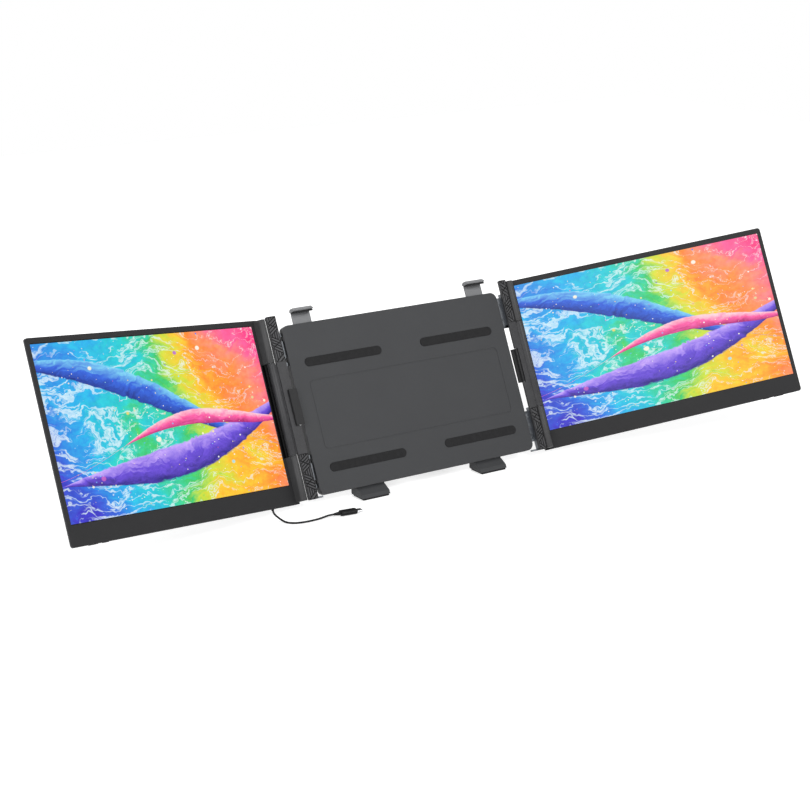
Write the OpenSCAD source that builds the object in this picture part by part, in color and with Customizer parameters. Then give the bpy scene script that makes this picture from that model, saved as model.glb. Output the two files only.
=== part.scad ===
// Laptop screen extender: a frame that holds on to an open laptop lid and
// carries one hinged monitor on each side of it.
// The frame is drawn upright with the lid face at y = 0 and +Y behind it, and
// is then leaned back about the lid's lower edge. Millimetres, +Z up.

/* [Pose] */
// Lean of the frame from upright
lean = 25; // [15:1:35]
// How far each monitor is turned in from flat
yaw = 20; // [0:1:40]
// Angle between the kickstand and the back of the frame
kick_angle = 46; // [40:1:50]

/* [Monitor] */
// Width of the lit area
screen_w = 344.2; // [320:0.1:360]
// Height of the lit area
screen_h = 193.6; // [180:0.1:202]
// Border beside the screen on the far edge
side_border = 6.4; // [5:0.1:12]
// Border above the screen
top_border = 7.1; // [5:0.1:12]
// Border below the screen
chin = 24.1; // [18:0.1:30]
// Distance from hinge axis to the lit area
screen_in = 11.5; // [11:0.1:14]
// Depth of the monitor behind its glass
back_depth = 7; // [6.6:0.1:7.1]
// Thickness of the far and top edges
edge_t = 3.15; // [2.8:0.05:4]
// Height by which the border stands proud of the glass
proud = 0.4; // [0.2:0.05:0.6]
// Width of the unlit rim between the border and the picture
black_rim = 1; // [0.4:0.1:1.2]
// Radius of the outer corners
corner_r = 3.5; // [2:0.5:6]
// Wall thickness of the rear cover
wall = 1.2; // [1:0.1:1.5]

/* [Hinge] */
// Radius of the hinge barrels
barrel_r = 5; // [4.8:0.1:5.2]
// Distance from the middle to the left hinge axis
left_axis_x = 185.2; // [184.8:0.1:187]
// Distance from the middle to the right hinge axis
right_axis_x = 182.6; // [182.4:0.1:184]
// Depth of the left hinge axis behind the lid face
left_axis_y = 5.5; // [5:0.1:6]
// Depth of the right hinge axis behind the lid face
right_axis_y = 4.8; // [4.4:0.1:5.2]
// Distance from left axis back to the glass
left_gap = 7.6; // [7.4:0.1:8]
// Distance from right axis back to the glass, deeper so that it folds on top
right_gap = 14.8; // [14.7:0.1:15.2]
// Radius of the steel hinge shafts
shaft_r = 2; // [1.5:0.1:2.2]
// How far the foot of an end barrel spreads beyond the barrel
foot_spread = 0.4; // [0:0.1:0.6]

/* [Side bars] */
// Inner edge of a bar from the middle
bar_in = 166; // [165:0.5:170]
// Slit between the left bar and its end barrels
left_slit = 1; // [0.9:0.1:3]
// Slit between the right bar and its end barrels
right_slit = 0.5; // [0.4:0.1:2]
// Height of a bar's foot, measured along the lid
bar_z0 = -12.9; // [-14:0.1:-8]
// Height of a bar's head
bar_z1 = 211.2; // [205:0.1:212]
// Lower end of the plain middle stretch
plain_z0 = 42.5; // [38:0.5:50]
// Upper end of the plain middle stretch
plain_z1 = 155.5; // [150:0.5:160]

/* [Frame] */
// Half width of the housing
house_x = 159.5; // [155:0.5:160]
// Lower edge of the housing
house_z0 = -10; // [-11:0.5:-6]
// Upper edge of the housing
house_z1 = 198; // [194:0.5:202]
// Back of the housing behind the lid face
house_y1 = 19; // [18.5:0.1:21]
// Radius of the guide rods
rod_r = 2; // [1.5:0.1:2.2]
// Height of the desk below the lid's lower edge
desk_drop = 26; // [25:0.5:30]

/* [Lead] */
// Diameter of the lead
lead_d = 2.4; // [2:0.1:3.5]

/* [Hidden] */
$fn = 48;
left = -1;
right = 1;

// colours
shell_grey = "#3f4042";
bar_grey = "#56575a";
trim_grey = "#47484b";
hook_grey = "#77787a";
soft_black = "#1d1d1f";
steel = "#b6b9bd";
bronze = "#b08a4e";
board_green = "#1f5a3c";

// row origin: on the desk, under the middle of the assembly
origin_y = -15.1;

// monitor, measured from its hinge axis (x) and up the lid (z)
far_x = screen_in + screen_w + side_border;
lit_z0 = 9.9;
mon_z0 = lit_z0 - chin;
mon_z1 = lit_z0 + screen_h + top_border;
inner_x = -1;
trough_x = 9;
split_y = 0.8;
glass_t = 1.8;
glass_rim = 1.8;
taper_w = 14;
port_x = 66;
lead_x = 44.5;
port_y = 3.1;
power_button = [312, 9];
menu_button = [330, 13];

// hinge stretches along the axis
cover_gap = 0.4;
upper_z0 = plain_z1 + cover_gap;
upper_z1 = mon_z1 - 1.5;
lower_z0 = mon_z0 + 2.2;
lower_z1 = plain_z0 - cover_gap;
bracket_low = [lower_z0 + 8, lower_z1 - 1];
bracket_high = [upper_z0 + 1, mon_z1 - taper_w - 1];
shield_r = 8;

// bars and slides
bar_y0 = 2;
bar_y1 = 5.5;
mid_y1 = 8.5;
mid_z0 = plain_z0 + 1.5;
mid_z1 = plain_z1 - 2;
bar_corner = 1.6;
trim_depth = 1;
trim_inset = 0.55;
arm_y0 = 9.8;
arm_y1 = 11.6;
rod_y = 14.2;
rod_z = [20, 170];
arm_half = 20;
rod_end = 152;
bush_x = 96;
bush_len = 24;
bush_r = 2.8;
saddle_y1 = 15.6;

// hooks
hook_x = 128;
strap_half = 13;
strap_y0 = 8.1;
strap_y1 = 9.4;
cap_half = 14;
cap_z0 = 212.5;
cap_z1 = 216.9;

// clip
clip_z0 = 77;
clip_z1 = 121;
clip_pin_x = bar_in + 1.9;
clip_pin_y = 3.95;
clip_pin_r = 0.8;

// kickstand
kick_z = 140;
kick_y = 23.6;
kick_pin_r = 2;
kick_w = 116;
lug_x = [36, 50];
foot_x = 88;
kick_len = (desk_drop + kick_z * cos(lean) - kick_y * sin(lean)) / cos(kick_angle - lean);

function axis_x(side) = side < 0 ? left_axis_x : right_axis_x;
function axis_y(side) = side < 0 ? left_axis_y : right_axis_y;
function axis_gap(side) = side < 0 ? left_gap : right_gap;
function bar_out(side) = axis_x(side) - barrel_r - (side < 0 ? left_slit : right_slit);

// height of the desk in the upright frame, at a depth y
function desk_z(y) = (-desk_drop + y * sin(lean)) / cos(lean);

module leaned() translate([0, origin_y, desk_drop]) rotate([-lean, 0, 0]) children();

module flipped(side) {
    if (side < 0) mirror([1, 0, 0]) children();
    else children();
}

// x outwards from the middle, y back, z up the lid
module on_side(side) leaned() flipped(side) children();

// x from the hinge axis to the far edge, y = 0 at the glass, z up the lid
module on_monitor(side)
    on_side(side)
        translate([axis_x(side), axis_y(side), 0])
            rotate([0, 0, -yaw])
                translate([0, axis_gap(side), 0]) children();

module box(a, b) translate(a) cube(b - a);

// upright plate: an outline in x and z, from depth y0 to y1
module plate(y0, y1) translate([0, y1, 0]) rotate([90, 0, 0]) linear_extrude(y1 - y0) children();

// a section in y and z, pulled along x from x0 to x1
module along_x(x0, x1)
    translate([x0, 0, 0]) rotate([90, 0, 90]) linear_extrude(x1 - x0) children();

// a section in x and y, pulled up z from z0 to z1
module up_z(z0, z1) translate([0, 0, z0]) linear_extrude(z1 - z0) children();

module round_rect(x0, z0, x1, z1, r) {
    translate([x0 + r, z0]) square([x1 - x0 - 2 * r, z1 - z0]);
    translate([x0, z0 + r]) square([x1 - x0, z1 - z0 - 2 * r]);
    for (x = [x0 + r, x1 - r], z = [z0 + r, z1 - r]) translate([x, z]) circle(r);
}

module slot_shape(w, h) {
    square([w - h, h], center = true);
    for (s = [-1, 1]) translate([s * (w - h) / 2, 0]) circle(h / 2);
}

// ---------------------------------------------------------------- housing

module housing_outline(inset) {
    round_rect(-house_x + inset, house_z0 + inset, house_x - inset, house_z1 - inset, 9 - inset);
}

screw_spots = [[-148, 60], [0, -2], [148, 60], [-148, 138], [0, 190], [148, 138]];
pad_spots = [[-84, 20, 110, 11], [84, 20, 110, 11], [-84, 150, 110, 11], [84, 150, 110, 11]];

module front_plate() {
    color(shell_grey) leaned() difference() {
        plate(6.3, 7.8) housing_outline(0);
        for (p = pad_spots)
            plate(5, 6.9) translate([p[0], p[1]]) slot_shape(p[2], p[3]);
        plate(5, 6.7) difference() {
            round_rect(-140, 42, 140, 128, 6);
            round_rect(-138.4, 43.6, 138.4, 126.4, 4.6);
        }
        for (p = screw_spots) translate([p[0], 7.9, p[1]]) rotate([90, 0, 0]) cylinder(r = 1.1, h = 1);
    }
}

module lid_pads() {
    color(soft_black) leaned()
        for (p = pad_spots)
            plate(5.7, 6.9) translate([p[0], p[1]]) slot_shape(p[2] - 0.4, p[3] - 0.4);
}

// side view of the housing with its rear edges cut back
module shell_section(inset) {
    polygon([
        [7.8, house_z0 + inset], [house_y1 - 5 - inset, house_z0 + inset],
        [house_y1 - inset, house_z0 + 8], [house_y1 - inset, house_z1 - 8],
        [house_y1 - 5 - inset, house_z1 - inset], [7.8, house_z1 - inset]
    ]);
}

module shell_plan(inset) {
    polygon([
        [-house_x + inset, 7.8], [house_x - inset, 7.8], [house_x - inset, house_y1 - 5 - inset],
        [house_x - 8, house_y1 - inset], [-house_x + 8, house_y1 - inset],
        [-house_x + inset, house_y1 - 5 - inset]
    ]);
}

module shell_body(inset) {
    intersection() {
        along_x(-house_x + inset, house_x - inset) shell_section(inset);
        up_z(house_z0 + inset, house_z1 - inset) shell_plan(inset);
        plate(7.8, house_y1) housing_outline(inset);
    }
}

module foot_block(x0, x1) {
    along_x(x0, x1) polygon([
        [2, desk_z(2) + 2.2], [24, desk_z(24) + 2.2], [24, -13.5], [18.9, -2.2], [9.6, -4],
        [9.6, house_z0 - 1], [2, desk_z(2) + 7]
    ]);
}

module kick_lug(x0, x1) {
    along_x(x0, x1) polygon([
        [house_y1 - 1, kick_z - 8], [kick_y, kick_z - 5.5], [kick_y + 4.2, kick_z - 2.6],
        [kick_y + 4.2, kick_z + 2.6], [kick_y, kick_z + 5.5], [house_y1 - 1, kick_z + 10]
    ]);
}

module rear_shell() {
    color(shell_grey) leaned() difference() {
        union() {
            difference() {
                shell_body(0);
                shell_body(1.6);
            }
            // rod supports, screw posts, foot blocks and kickstand lugs
            for (z = rod_z, x = [-152.5, -3, 146.5]) box([x, 12.6, z - 5], [x + 6, 17.6, z + 5]);
            for (p = screw_spots)
                translate([p[0], 17.6, p[1]]) rotate([90, 0, 0]) cylinder(r = 3, h = 9.8);
            for (s = [-1, 1]) foot_block(s * foot_x - 20, s * foot_x + 20);
            for (s = [-1, 1], x = lug_x) kick_lug(s * x - 2.5, s * x + 2.5);
        }
        for (z = rod_z)
            translate([-rod_end, rod_y, z]) rotate([0, 90, 0]) cylinder(r = rod_r, h = 2 * rod_end);
        for (z = rod_z, s = [-1, 1])
            box([s * 158 - 3, arm_y0 - 0.3, z - arm_half - 0.4],
                [s * 158 + 3, arm_y1 + 0.3, z + arm_half + 0.4]);
        for (s = [-1, 1])
            box([s * hook_x - strap_half - 0.3, 7.7, 120],
                [s * hook_x + strap_half + 0.3, strap_y1 + 0.3, 220]);
        translate([-60, kick_y, kick_z]) rotate([0, 90, 0]) cylinder(r = kick_pin_r, h = 120);
        for (s = [-1, 1], i = [0:8])
            plate(house_y1 - 2, house_y1 + 1)
                translate([s * (78 + 8 * i), 172]) rotate([0, 0, 90]) slot_shape(16, 2.4);
        for (p = screw_spots) {
            translate([p[0], 25, p[1]]) rotate([90, 0, 0]) cylinder(r = 1.1, h = 20);
            translate([p[0], 25, p[1]]) rotate([90, 0, 0]) cylinder(r = 2.3, h = 7.6);
        }
    }
}

module housing_screws() {
    color(steel) leaned()
        for (p = screw_spots) translate([p[0], 18.8, p[1]]) rotate([90, 0, 0]) difference() {
            union() {
                cylinder(r = 2.2, h = 1.4);
                cylinder(r = 1.1, h = 11.6);
            }
            translate([0, 0, -1]) cylinder(r = 1.1, h = 1.8, $fn = 6);
        }
}

module guide_rods() {
    color(steel) leaned()
        for (z = rod_z)
            translate([-rod_end, rod_y, z]) rotate([0, 90, 0]) cylinder(r = rod_r, h = 2 * rod_end);
}

module front_feet() {
    color(soft_black) leaned()
        for (s = [-1, 1])
            along_x(s * foot_x - 18.5, s * foot_x + 18.5) polygon([
                [2.6, desk_z(2.6)], [23.4, desk_z(23.4)],
                [23.4, desk_z(23.4) + 2.2], [2.6, desk_z(2.6) + 2.2]
            ]);
}

// -------------------------------------------------------------- kickstand

// the leg hangs down -z from its pin, drawn along the back and then swung out
module on_kickstand()
    leaned() translate([0, kick_y, kick_z]) rotate([kick_angle, 0, 0]) children();

// slope of the desk as the swung leg meets it
foot_slope = tan(kick_angle - lean);

module kickstand() {
    color(bar_grey) on_kickstand() difference() {
        union() {
            plate(-1.8, 1.8) difference() {
                polygon([
                    [-kick_w / 2 + 9, 2], [kick_w / 2 - 9, 2], [kick_w / 2, -kick_len + 10],
                    [kick_w / 2 - 8, -kick_len + 2], [-kick_w / 2 + 8, -kick_len + 2],
                    [-kick_w / 2, -kick_len + 10]
                ]);
                round_rect(-34, -118, 34, -32, 8);
            }
            translate([-47.2, 0, 0]) rotate([0, 90, 0]) cylinder(r = 3.8, h = 94.4);
        }
        translate([-80, 0, 0]) rotate([0, 90, 0]) cylinder(r = kick_pin_r + 0.05, h = 160);
        for (s = [-1, 1], x = lug_x)
            box([s * x - 2.9, -6, -10.5], [s * x + 2.9, 6, 8]);
        for (s = [-1, 1]) box([s * 58 - 5.4, -6, -9], [s * 58 + 5.4, 6, 8]);
    }
}

module kickstand_foot() {
    color(soft_black) on_kickstand()
        along_x(-kick_w / 2 + 8, kick_w / 2 - 8) polygon([
            [-2.6, -kick_len + 4.5], [-1.8, -kick_len + 4.5], [-1.8, -kick_len + 2],
            [1.8, -kick_len + 2], [1.8, -kick_len + 4.5], [2.6, -kick_len + 4.5],
            [2.6, -kick_len - foot_slope * 2.6], [-2.6, -kick_len + foot_slope * 2.6]
        ]);
}

module kickstand_pin() {
    color(steel) leaned()
        translate([-53.5, kick_y, kick_z]) rotate([0, 90, 0]) cylinder(r = kick_pin_r, h = 107);
}

// ------------------------------------------------------------------ hooks

// rounded head that reaches forward over the lid's edge
module hook_cap() intersection() {
    along_x(hook_x - cap_half, hook_x + cap_half) polygon([
        [-0.6, cap_z0], [-1.6, cap_z0 + 1.3], [1.5, cap_z1], [9, cap_z1], [10.5, cap_z0 + 1.3],
        [9.5, cap_z0]
    ]);
    plate(-1.6, 10.5) polygon([
        [hook_x - strap_half, cap_z0], [hook_x - cap_half, cap_z0 + 1.3],
        [hook_x - cap_half + 1.2, cap_z1], [hook_x + cap_half - 1.2, cap_z1],
        [hook_x + cap_half, cap_z0 + 1.3], [hook_x + strap_half, cap_z0]
    ]);
}

module hook(side) {
    color(hook_grey) on_side(side) {
        difference() {
            box([hook_x - strap_half, strap_y0, 128], [hook_x + strap_half, strap_y1, cap_z0 + 0.1]);
            box([hook_x - 7, 7, 136], [hook_x + 7, 10, 186]);
        }
        hook_cap();
    }
}

module hook_pad(side) {
    color(soft_black) on_side(side)
        along_x(hook_x - 12.5, hook_x + 12.5) polygon([
            [-1.3, cap_z0 - 2.3], [-0.2, cap_z0 - 2.3], [-0.2, cap_z0 - 1.2], [strap_y0, cap_z0 - 1.2],
            [strap_y0, cap_z0], [-0.6, cap_z0], [-1.3, cap_z0 - 0.7]
        ]);
}

// ------------------------------------------------------------------- bars

module bar(side) {
    color(bar_grey) on_side(side) difference() {
        union() {
            plate(bar_y0, bar_y1) round_rect(bar_in, bar_z0, bar_out(side), bar_z1, bar_corner);
            box([bar_in + 4.4, bar_y0, mid_z0], [bar_out(side), mid_y1, mid_z1]);
        }
        for (z = [[bar_z0 - 1, plain_z0], [plain_z1, bar_z1 + 1]])
            box([bar_in + 0.5, 0, z[0] + (z[0] < 0 ? 1.6 : 0)],
                [bar_out(side) - 0.5, bar_y0 + trim_depth, z[1] - (z[1] > 200 ? 1.6 : 0)]);
        // notch that the clip turns in, and its seat behind the bar when it is stowed
        box([bar_in - 1, 0, clip_z0 - 0.4], [bar_in + 3.9, 9, clip_z1 + 0.4]);
        box([bar_in, bar_y1, clip_z0 - 0.4], [clip_pin_x + 5.9, 9, clip_z1 + 0.4]);
        translate([clip_pin_x, clip_pin_y, clip_z0 - 3]) cylinder(r = clip_pin_r, h = 50);
        // front edges broken slightly
        for (x = [bar_in, bar_out(side)])
            translate([x, bar_y0, 100]) rotate([0, 0, 45]) cube([0.5, 0.5, 400], center = true);
    }
}

// corners of a facet strip: 0 on its inner edge or 1 on its outer one, and their share of its length
zigzag = [
    [0, 0], [1, 0], [0, 0.17], [1, 0.31], [0, 0.45], [1, 0.58], [0, 0.73], [1, 0.86], [0, 1], [1, 1]
];
function facet_rise(i) = 0.28 + 0.27 * sin(113 * i + 20);

// low relief of flat facets, one between every three corners that follow each other
module trim_plate(w, z0, z1) {
    n = len(zigzag);
    top = [for (i = [0:n - 1])
        [bar_in + trim_inset + w * zigzag[i][0], bar_y0 + 0.35 - facet_rise(i),
         z0 + (z1 - z0) * zigzag[i][1]]];
    base = [for (p = top) [p[0], bar_y0 + trim_depth, p[2]]];
    front = [for (i = [0:n - 3]) i % 2 == 0 ? [i, i + 1, i + 2] : [i + 1, i, i + 2]];
    back = [for (f = front) [f[2] + n, f[1] + n, f[0] + n]];
    ring = concat([0], [for (i = [1:2:n - 1]) i], [for (i = [n - 2:-2:2]) i]);
    sides = [for (i = [0:len(ring) - 1]) let (a = ring[i], b = ring[(i + 1) % len(ring)])
        [b, a, a + n, b + n]];
    polyhedron(points = concat(top, base), faces = concat(front, back, sides));
}

module bar_trim(side) {
    w = bar_out(side) - bar_in - 2 * trim_inset;
    color(trim_grey) on_side(side) {
        trim_plate(w, bar_z0 + 0.65, plain_z0 - 0.05);
        trim_plate(w, plain_z1 + 0.05, bar_z1 - 0.65);
    }
}

module slide_arms(side) {
    color(steel) on_side(side) difference() {
        union() {
            box([bar_in + 0.4, bar_y1, -12.4], [171, arm_y1, mid_z0]);
            box([bar_in + 0.4, bar_y1, mid_z1], [171, arm_y1, 194]);
            box([157, 6.5, -12.6], [171, arm_y1, -10.4]);
            for (z = rod_z) box([90, arm_y0, z - arm_half], [171, arm_y1, z + arm_half]);
            for (z = rod_z) box([bush_x, arm_y0, z - 6], [bush_x + bush_len, saddle_y1, z + 6]);
        }
        for (z = rod_z) {
            translate([bush_x - 1, rod_y, z]) rotate([0, 90, 0]) cylinder(r = bush_r, h = bush_len + 2);
            for (d = [-13, 13])
                plate(arm_y0 - 1, arm_y1 + 1) translate([145, z + d]) slot_shape(36, 6);
        }
    }
}

module bushes(side) {
    color(bronze) on_side(side)
        for (z = rod_z) translate([bush_x, rod_y, z]) rotate([0, 90, 0]) difference() {
            cylinder(r = bush_r, h = bush_len);
            translate([0, 0, -1]) cylinder(r = rod_r + 0.05, h = bush_len + 2);
        }
}

module clip_shape() {
    difference() {
        union() {
            translate([-clip_pin_x, -clip_pin_y]) polygon([
                [162.4, -1.0], [162.7, -1.3], [172.8, -1.3], [173.4, -0.7], [173.4, 1.8],
                [169.4, 1.8], [169.4, 3.4], [166.4, 3.4], [166.4, -0.3], [162.4, -0.3]
            ]);
            circle(1.6);
        }
        circle(clip_pin_r + 0.05);
    }
}

// drawn over the lid's edge, or swung half a turn to lie behind the bar
module clip(side, swing) {
    color(shell_grey) on_side(side)
        translate([clip_pin_x, clip_pin_y, 0]) rotate([0, 0, swing])
            up_z(clip_z0, clip_z1) clip_shape();
}

module clip_pin(side) {
    color(steel) on_side(side)
        translate([clip_pin_x, clip_pin_y, clip_z0 - 3]) cylinder(r = clip_pin_r, h = 50);
}

// the left web lies back in a shallow groove, the right one runs flush on to the barrel
module hinge_barrel(side) {
    ax = axis_x(side);
    ay = axis_y(side);
    web_y = side < 0 ? [bar_y0 + 1.4, bar_y0 + 1.4] : [bar_y0, ay - 4.4];
    color(bar_grey) on_side(side) difference() {
        union() {
            translate([ax, ay, plain_z0]) cylinder(r = barrel_r, h = plain_z1 - plain_z0);
            up_z(mid_z0, mid_z1) polygon([
                [bar_out(side), web_y[0]], [ax - 2.3, web_y[1]], [ax - 2.3, mid_y1],
                [bar_out(side), mid_y1]
            ]);
        }
        for (z = [plain_z0 - 1, plain_z1 - 39])
            translate([ax, ay, z]) cylinder(r = shaft_r, h = 40);
    }
}

module hinge_shafts(side) {
    color(steel) on_side(side)
        for (z = [[bracket_low[0], plain_z0 + 38.9], [plain_z1 - 38.9, bracket_high[1]]])
            translate([axis_x(side), axis_y(side), z[0]]) cylinder(r = shaft_r, h = z[1] - z[0]);
}

// curved strip behind the middle barrel that closes the gap to the monitor
module hinge_shield(side) {
    color(soft_black) on_side(side) translate([axis_x(side), axis_y(side), 0])
        up_z(plain_z0, plain_z1) intersection() {
            difference() {
                circle(shield_r);
                circle(barrel_r);
            }
            translate([-shield_r, mid_y1 - axis_y(side)]) square([2 * shield_r, shield_r]);
        }
}

// --------------------------------------------------------------- monitors

module body_outline(inset) {
    r = corner_r - inset;
    round_rect(inner_x + 8, mon_z0 + inset, far_x - inset, mon_z1 - inset, r);
    round_rect(inner_x + inset, mon_z0 + inset, inner_x + 30, mon_z1 - inset, 1.3);
}

// plan and side sections: full depth near the hinge and the foot, thin at the far and top edges
module body_plan(inset, front) {
    thin = edge_t - proud;
    polygon([
        [inner_x + inset, front], [far_x - inset, front], [far_x - inset, thin - inset],
        [far_x - taper_w, back_depth - inset], [inner_x + 1 + inset, back_depth - inset],
        [inner_x + inset, back_depth - 1 - inset]
    ]);
}

module body_section(inset, front) {
    thin = edge_t - proud;
    polygon([
        [front, mon_z0 + inset], [back_depth - 1 - inset, mon_z0 + inset],
        [back_depth - inset, mon_z0 + 1 + inset], [back_depth - inset, mon_z1 - taper_w],
        [thin - inset, mon_z1 - inset], [front, mon_z1 - inset]
    ]);
}

module cover_body(inset, front) {
    intersection() {
        up_z(mon_z0 + inset, mon_z1 - inset) body_plan(inset, front);
        along_x(inner_x + inset, far_x - inset) body_section(inset, front);
        plate(front, back_depth) body_outline(inset);
    }
}

// the lit area, grown by extra on every side
module lit_frame(extra)
    translate([screen_in - extra, lit_z0 - extra]) square([screen_w + 2 * extra, screen_h + 2 * extra]);

cover_screw_x = [20, 120, 240, 345];
cover_screw_z = mon_z0 + 9;

module bezel(side) {
    color(shell_grey) on_monitor(side) difference() {
        union() {
            plate(-proud, split_y) body_outline(0);
            for (x = cover_screw_x)
                translate([x, back_depth - wall, cover_screw_z]) rotate([90, 0, 0])
                    cylinder(r = 2.6, h = back_depth - wall);
        }
        plate(-2, 2) lit_frame(black_rim);
        plate(0, 2) lit_frame(glass_rim + 0.1);
        box([-5, -2, lower_z1], [trough_x, 2, upper_z0]);
        for (z = [bracket_low, bracket_high]) box([0.6, -2, z[0] - 0.2], [2.6, 2, z[1] + 0.2]);
        for (x = cover_screw_x)
            translate([x, back_depth, cover_screw_z]) rotate([90, 0, 0]) cylinder(r = 1, h = 6);
    }
}

module display(side) {
    color("#2fa6c9") on_monitor(side)
        plate(0, glass_t) lit_frame(glass_rim);
}

module backlight(side) {
    color("#e4e6e8") on_monitor(side)
        plate(glass_t, 3.3) lit_frame(-2);
}

module driver_board(side) {
    color(board_green) on_monitor(side) {
        box([28, 5, mon_z0 + 2.6], [112, 5.8, 7]);
        box([84, 3.8, mon_z0 + 6], [96, 5, mon_z0 + 18]);
        box([100, 4.2, mon_z0 + 10], [108, 5, mon_z0 + 14]);
    }
}

module rear_cover(side) {
    color(shell_grey) on_monitor(side) difference() {
        cover_body(0, split_y);
        cover_body(wall, split_y - 1);
        for (x = side < 0 ? [port_x] : [lead_x, port_x])
            up_z(mon_z0 - 1, mon_z0 + 2) translate([x, port_y]) slot_shape(9.2, 3.4);
        if (side < 0) translate([lead_x, port_y, mon_z0 - 1]) cylinder(r = 1.9, h = 4);
        for (b = [power_button, menu_button])
            up_z(mon_z0 - 1, mon_z0 + 2) translate([b[0], port_y]) slot_shape(b[1] + 0.5, 3.1);
        for (i = [0:17])
            plate(back_depth - 2, back_depth + 1)
                translate([100 + 9 * i, 26]) rotate([0, 0, 62]) slot_shape(20, 2.6);
        for (x = cover_screw_x) {
            translate([x, back_depth + 1, cover_screw_z]) rotate([90, 0, 0]) cylinder(r = 2.1, h = 1.7);
            translate([x, back_depth + 1, cover_screw_z]) rotate([90, 0, 0]) cylinder(r = 1, h = 3);
        }
    }
}

// inner wall and floor of the trough that the middle barrel turns in
module hinge_trough(side) {
    color(soft_black) on_monitor(side) {
        box([trough_x, split_y, lower_z1], [trough_x + 0.6, back_depth - wall, upper_z0]);
        box([inner_x + wall, 1.6, lower_z1], [trough_x + 0.1, 2.6, upper_z0]);
    }
}

module cover_screws(side) {
    color(steel) on_monitor(side)
        for (x = cover_screw_x)
            translate([x, back_depth - 0.1, cover_screw_z]) rotate([90, 0, 0]) difference() {
                union() {
                    cylinder(r = 2, h = 0.6);
                    cylinder(r = 1, h = 4.6);
                }
                translate([0, 0, -0.6]) cylinder(r = 0.9, h = 1, $fn = 6);
            }
}

// section of an end barrel and the web that carries it on the border of the monitor
module cover_shape(gap) {
    foot = gap - proud;
    circle(barrel_r);
    polygon([
        [barrel_r - 0.02, 0], [barrel_r + foot_spread, foot], [-1, foot], [-1, 4.8], [-4, 2.9], [0, 0]
    ]);
}

module cover_bore(gap) {
    circle(3.6);
    translate([0.6, 0]) square([2, gap]);
}

module hinge_covers(side) {
    gap = axis_gap(side);
    color(shell_grey) on_monitor(side) translate([0, -gap, 0])
        for (z = [[lower_z0, lower_z1, 2, -1], [upper_z0, upper_z1, -1, 2]]) difference() {
            up_z(z[0], z[1]) cover_shape(gap);
            up_z(z[0] + z[2], z[1] - z[3]) cover_bore(gap);
        }
}

module hinge_brackets(side) {
    gap = axis_gap(side);
    color(steel) on_monitor(side) translate([0, -gap, 0])
        for (z = [bracket_low, bracket_high])
            up_z(z[0], z[1]) difference() {
                union() {
                    circle(3.5);
                    translate([0.8, 0]) square([1.6, gap + 5.2]);
                    translate([0.8, gap + 4]) square([7.4, 1.2]);
                    translate([3, gap + 5]) square([5.2, 0.8]);
                }
                circle(shaft_r + 0.04);
            }
}

module port_shell() {
    difference() {
        linear_extrude(7.2) slot_shape(8.9, 3.2);
        translate([0, 0, -1]) linear_extrude(7.2) slot_shape(8.3, 2.6);
    }
    translate([-3.3, -0.35, 0.6]) cube([6.6, 0.7, 6.6]);
}

module ports(side) {
    color(steel) on_monitor(side)
        for (x = side < 0 ? [port_x] : [lead_x, port_x])
            translate([x, port_y, mon_z0 + 0.1]) port_shell();
}

module button(side, at) {
    x = at[0];
    w = at[1];
    color(soft_black) on_monitor(side) {
        up_z(mon_z0 - 0.6, mon_z0 + 2.2) translate([x, port_y]) slot_shape(w, 2.6);
        up_z(mon_z0 + 1.4, mon_z0 + 2.2) translate([x, port_y]) slot_shape(w + 1.6, 3.5);
    }
}

// ------------------------------------------------------------------- lead

// from the grommet down to the desk and round to the plug, in the row's frame
lead_path = [
    [-230.7, -21.5, 11.6], [-230.7, -22.3, 9.8], [-230, -23.6, 7.8], [-228.8, -25.8, 5.9],
    [-227.4, -28.7, 4.2], [-226.1, -32.2, 2.8], [-225, -36.1, 1.8], [-223.5, -40.2, 1.3],
    [-220.8, -44.2, 1.25], [-216.6, -47.4, 1.25], [-211.4, -49.6, 1.25], [-205.4, -50.8, 1.25],
    [-198.8, -51.3, 1.25], [-192, -51.3, 1.25], [-185, -51.1, 1.4], [-178.4, -50.9, 2.2],
    [-172.2, -50.9, 3], [-166, -51.7, 3]
];
lead_sides = 8;
grommet_len = 1.6;

function unit(v) = v / norm(v);
function heading(i) =
    unit(lead_path[min(i + 1, len(lead_path) - 1)] - lead_path[max(i - 1, 0)]);
function ring_side(i) = unit(cross(heading(i), [0.35, 0.2, 1]));
function ring_up(i) = cross(ring_side(i), heading(i));

module lead() {
    n = len(lead_path);
    k = lead_sides;
    pts = [for (i = [0:n - 1], j = [0:k - 1])
        lead_path[i] + lead_d / 2 * (cos(360 * j / k) * ring_side(i) + sin(360 * j / k) * ring_up(i))];
    sides = [for (i = [0:n - 2], j = [0:k - 1])
        let (a = i * k + j, b = i * k + (j + 1) % k) [a, b, b + k, a + k]];
    caps = [[for (j = [k - 1:-1:0]) j], [for (j = [0:k - 1]) (n - 1) * k + j]];
    color(soft_black) polyhedron(points = pts, faces = concat(sides, caps));
}

module lead_grommet() {
    color(soft_black) on_monitor(left) translate([lead_x, port_y, mon_z0]) {
        translate([0, 0, -grommet_len]) cylinder(r1 = 1.4, r2 = 1.9, h = grommet_len);
        cylinder(r = 1.9, h = 2.4);
    }
}

plug_at = lead_path[len(lead_path) - 1];
plug_heading = heading(len(lead_path) - 1);
relief_len = 8;
plug_len = 21;

module on_plug() translate(plug_at) rotate([0, 0, atan2(plug_heading[1], plug_heading[0])]) children();

module lead_plug() {
    color(soft_black) on_plug() {
        rotate([0, 90, 0]) cylinder(r1 = 1.4, r2 = 2.3, h = relief_len);
        translate([relief_len, 0, 0]) rotate([90, 0, 90]) linear_extrude(plug_len) slot_shape(10.6, 6);
    }
}

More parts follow.
